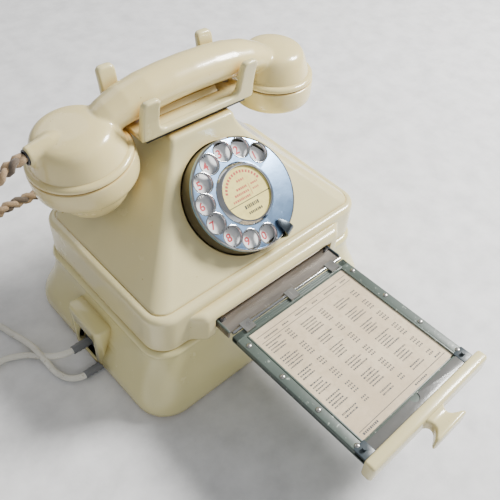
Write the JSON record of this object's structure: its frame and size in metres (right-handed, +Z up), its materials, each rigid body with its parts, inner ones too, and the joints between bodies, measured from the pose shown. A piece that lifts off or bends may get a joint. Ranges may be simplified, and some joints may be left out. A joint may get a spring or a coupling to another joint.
{
  "type": "rotary telephone",
  "caption": "Ivory desk telephone with a sloping rotary dial, a handset on a horned cradle, an open card drawer in the foot and a bell box beneath.",
  "frame": {"origin": "on the surface the feet stand on, below the middle of the bell box", "axes": "+X to the right as seen from the front, +Y to the back, +Z up; the dial and drawer face -Y"},
  "size_m": [0.4165, 0.4352, 0.1931],
  "materials": {
    "ivory": "gloss",
    "handset_ivory": "gloss",
    "steel": "satin",
    "screw_steel": "satin",
    "slider_steel": "satin",
    "black_plastic": "matte",
    "black_rubber": "matte",
    "brass": "satin",
    "copper_wire": "satin",
    "bronze": "satin",
    "enamel": "gloss",
    "chrome": "polished",
    "label_paper": "matte",
    "card_paper": "matte",
    "window": "gloss",
    "tray_paint": "satin",
    "cord_fabric": "matte",
    "cord_fabric_dark": "matte",
    "cord_white": "matte",
    "sleeve_grey": "matte"
  },
  "bodies": {
    "base": {"bell_case": "ivory", "bell_base": "steel", "feet": "black_rubber", "base_screws": "screw_steel", "gongs": "brass", "gong_posts": "steel", "ringer_frame": "steel", "ringer_coils": "copper_wire", "capacitor": "steel", "bell_terminals": "black_plastic", "cord_sleeves": "sleeve_grey", "upper_case": "ivory", "chassis": "steel", "chassis_screws": "screw_steel", "drawer_guides": "steel", "dial_cup": "bronze", "number_plate": "enamel", "dial_mechanism": "brass", "finger_stop": "steel", "cradle_plate": "black_plastic", "cradle": "ivory", "cradle_screws": "screw_steel", "switch_springs": "brass", "induction_coil": "copper_wire", "terminal_block": "black_plastic", "hand_cord_upper": "cord_fabric", "hand_cord_coil": "cord_fabric", "hand_cord_lower": "cord_fabric_dark", "line_cord_slot": "cord_white", "line_cord_slot_coil": "cord_white", "line_plug": "cord_white", "line_cord_base": "cord_white", "line_cord_base_coil": "cord_white", "junction_plug": "cord_white", "case_gland": "black_plastic"},
    "dial": {"finger_plate": "chrome", "label_ring": "steel", "label_card": "label_paper", "main_gear": "brass"},
    "governor": {"governor": "brass"},
    "drawer": {"drawer_slider": "slider_steel", "drawer_tray": "tray_paint", "hinge_rod": "screw_steel", "hinge_clips": "screw_steel", "number_card": "card_paper", "card_window": "window", "tray_screws": "screw_steel", "drawer_front": "ivory", "drawer_knob": "ivory"},
    "handset": {"handset_body": "handset_ivory", "ear_cap": "handset_ivory", "mouth_cap": "handset_ivory", "mouth_horn": "handset_ivory", "receiver": "black_plastic", "transmitter": "steel"},
    "plunger": {"plunger": "ivory", "plunger_rod": "steel"},
    "hammer": {"hammer": "brass"}
  },
  "joints": [
    {"name": "dial_turn", "type": "hinge", "parent": "base", "child": "dial", "pos_m": [0, -0.0394, 0.1283], "axis": [0, -0.6756, 0.7373], "range_deg": [-315, 0], "stiffness_Nm_per_rad": 0.01},
    {"name": "governor_spin", "type": "hinge", "parent": "base", "child": "governor", "pos_m": [0.0226, -0.0394, 0.1283], "axis": [0, -0.6756, 0.7373], "range_deg": [0, 1260]},
    {"name": "drawer_slide", "type": "slide", "parent": "base", "child": "drawer", "axis": [0, 0.9998, -0.0209], "range_m": [0, 0.125]},
    {"name": "handset_lift", "type": "slide", "parent": "base", "child": "handset", "axis": [-0.1564, 0, 0.9877], "range_m": [0, 0.12], "deforming": ["hand_cord_upper"]},
    {"name": "plunger_press", "type": "slide", "parent": "base", "child": "plunger", "axis": [0, 0, 1], "range_m": [-0.0035, 0], "stiffness_N_per_m": 300, "springref_m": 0.001},
    {"name": "hammer_swing", "type": "hinge", "parent": "base", "child": "hammer", "pos_m": [0, 0.01, 0.0305], "axis": [0, 0, 1], "range_deg": [-4, 4], "stiffness_Nm_per_rad": 0.01}
  ],
  "couplings": [
    {"joint": "governor_spin", "follows": "dial_turn", "ratio": -4}
  ]
}
